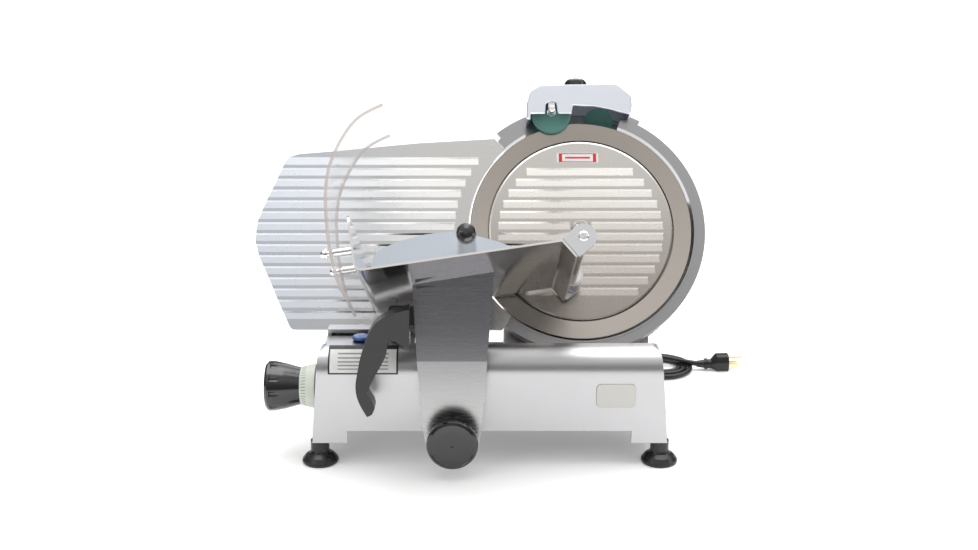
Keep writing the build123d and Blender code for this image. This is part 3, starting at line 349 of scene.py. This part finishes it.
def hank_point(q, r, z, push=0.0):
    """Place on a turn of the hank: q runs 0 to 4 once round, from the far side's left end."""
    k = q % 4
    if k < 1:
        x, y = HANK_HALF * (2 * k - 1), r
    elif k < 2:
        a = math.pi / 2 - math.pi * (k - 1)
        x, y = HANK_HALF + r * math.cos(a), r * math.sin(a)
    elif k < 3:
        x, y = HANK_HALF * (1 - 2 * (k - 2)), -r
    else:
        a = -math.pi / 2 - math.pi * (k - 3)
        x, y = -HANK_HALF + r * math.cos(a), r * math.sin(a)
    y -= push
    c, s = math.cos(HANK_TURN), math.sin(HANK_TURN)
    return HANK + Vector((x * c - y * s, x * s + y * c, z))


def ease(t):
    t = max(0.0, min(1.0, t))
    return t * t * (3 - 2 * t)


def cord_points():
    exit_x, rear = MID + 0.150, BY + 0.126
    pts = [Vector((exit_x, rear - 0.008, 0.046)), Vector((exit_x, rear + 0.018, 0.046)),
           Vector((exit_x, rear + 0.038, 0.045)), Vector((exit_x + 0.005, rear + 0.056, 0.032)),
           Vector((exit_x + 0.014, rear + 0.068, 0.012))]
    floor, top = CORD_D / 2 + 0.0001, CORD_D / 2 + CORD_D + 0.0006
    lanes = [0.0262, 0.0350, 0.0438]
    q = 0.45
    while q < 12.0 - 0.001:
        lane, k = int(q // 4), q % 4
        r = lanes[lane]
        z = floor
        if lane < 2:
            r += (lanes[lane + 1] - r) * ease((k - 2.6) / 0.7)
        else:
            z += (top - floor) * ease((k - 2.0) / 0.5)
            r += (0.0394 - r) * ease((k - 2.45) / 0.6)
        push = 0.006 * ease(1 - abs(k - 1.95) / 0.65) if lane == 2 else 0.0
        pts.append(hank_point(k, r, z, push))
        q += 0.2
    pts += [hank_point(0.0, 0.0390, top), hank_point(0.2, 0.0375, top), hank_point(0.42, 0.0325, top),
            hank_point(0.68, 0.021, top - 0.001)]
    ahead = Vector((math.cos(PLUG_YAW), math.sin(PLUG_YAW), 0))
    pts += [Vector((MID + 0.275, BY + 0.1745, top)), Vector((MID + 0.294, BY + 0.1615, top)),
            PLUG - ahead * 0.018 + Vector((0, 0, 0.0015)), PLUG - ahead * 0.010]
    return pts


route = cord_points()
lead = smooth_curve("power_cord", route, CORD_D / 2, CORD)


def curve_length(obj):
    mesh = bpy.data.meshes.new_from_object(obj)
    ends = [[mesh.vertices[i].co for i in edge.vertices] for edge in mesh.edges]
    total = sum((a - b).length for a, b in ends)
    bpy.data.meshes.remove(mesh)
    return total


bare = lead.copy()
bare.data = lead.data.copy()
bare.data.bevel_depth = 0
bpy.context.scene.collection.objects.link(bare)
CORD_LENGTH = curve_length(bare)
bpy.data.objects.remove(bare)
print("cord length", round(CORD_LENGTH, 4))
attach(lead, "base")
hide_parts("cord_lead", "cord_hank")

# ---------------------------------------------------------------- bevels on the plain CAD edges
SOFT_EDGES = {"base_housing": 0.0012, "gauge_plate": 0.0008, "carriage_arm": 0.0006, "food_tray": 0.0005,
              "ring_guard": 0.0008, "sharpener_housing": 0.0008, "carriage_handle": 0.0022, "column": 0.001,
              "pusher_arm": 0.001, "pusher_plate": 0.0008, "rod_brackets": 0.0008, "plug_body": 0.0008,
              "hand_guard": 0.0006, "slide_block": 0.001, "gauge_arm": 0.001, "switch_box": 0.0005}
for name, width in SOFT_EDGES.items():
    mod = N[name].modifiers.new("edge", "BEVEL")
    mod.width = width
    mod.segments = 3
    mod.limit_method = "ANGLE"
    mod.angle_limit = math.radians(40)
    mod.harden_normals = False

# ---------------------------------------------------------------- floor, world, lights, camera
bpy.ops.mesh.primitive_plane_add(size=80, location=(0, 0, -0.0001))
floor = bpy.context.object
floor.name = "floor"
mat, nodes, links, bsdf = new_material("pale_floor")
bsdf.inputs["Base Color"].default_value = (0.93, 0.93, 0.93, 1)
bsdf.inputs["Roughness"].default_value = 0.9
bsdf.inputs["Specular IOR Level"].default_value = 0.1
bsdf.inputs["Emission Color"].default_value = (1, 1, 1, 1)
bsdf.inputs["Emission Strength"].default_value = 0.22
floor.data.materials.append(mat)

world = bpy.data.worlds.new("studio")
bpy.context.scene.world = world
world.use_nodes = True
wn, wl = world.node_tree.nodes, world.node_tree.links
coord = wn.new("ShaderNodeTexCoord")
split = wn.new("ShaderNodeSeparateXYZ")
ramp = wn.new("ShaderNodeValToRGB")
wl.new(coord.outputs["Generated"], split.inputs["Vector"])
wl.new(split.outputs["Z"], ramp.inputs["Fac"])
wl.new(ramp.outputs["Color"], wn["Background"].inputs["Color"])
stops = [(0.0, (0.10, 0.098, 0.10)), (0.12, (0.13, 0.127, 0.127)), (0.42, (0.30, 0.29, 0.28)),
         (0.68, (0.86, 0.85, 0.84)), (0.9, (1.0, 1.0, 1.0))]
while len(ramp.color_ramp.elements) < len(stops):
    ramp.color_ramp.elements.new(0.5)
for element, (place, colour) in zip(ramp.color_ramp.elements, stops):
    element.position = place
    element.color = (*colour, 1)
wn["Background"].inputs["Strength"].default_value = 1.0


def area(name, place, target, size, size_y, power):
    data = bpy.data.lights.new(name, "AREA")
    data.shape = "RECTANGLE"
    data.size = size
    data.size_y = size_y
    data.energy = power
    obj = bpy.data.objects.new(name, data)
    bpy.context.scene.collection.objects.link(obj)
    obj.location = place
    obj.rotation_mode = "QUATERNION"
    obj.rotation_quaternion = (Vector(target) - Vector(place)).to_track_quat("-Z", "Y")
    return obj


area("overhead", (0.0, 0.2, 2.3), (0, 0, 0), 2.6, 1.6, 17)
area("front_left", (-1.9, -1.6, 1.5), (0, 0, 0.2), 0.9, 1.4, 5)
area("right_side", (2.2, -0.2, 0.9), (0, 0, 0.2), 0.8, 1.4, 5)

sun = bpy.data.lights.new("soft_sun", "SUN")
sun.energy = 1.75
sun.angle = math.radians(70)
sun_object = bpy.data.objects.new("soft_sun", sun)
bpy.context.scene.collection.objects.link(sun_object)
sun_object.rotation_euler = (math.radians(-18), math.radians(6), 0)

cam_data = bpy.data.cameras.new("camera")
cam_data.sensor_width = 36.0
cam_data.lens = 49.33
cam_data.clip_start = 0.05
camera = bpy.data.objects.new("camera", cam_data)
bpy.context.scene.collection.objects.link(camera)
camera.location = (BX - 0.1243, BY - 1.755, 0.728)
camera.rotation_euler = (math.radians(90 - 16.8), 0, 0)
bpy.context.scene.camera = camera
bpy.context.scene.view_settings.view_transform = "Standard"

bpy.context.view_layer.update()
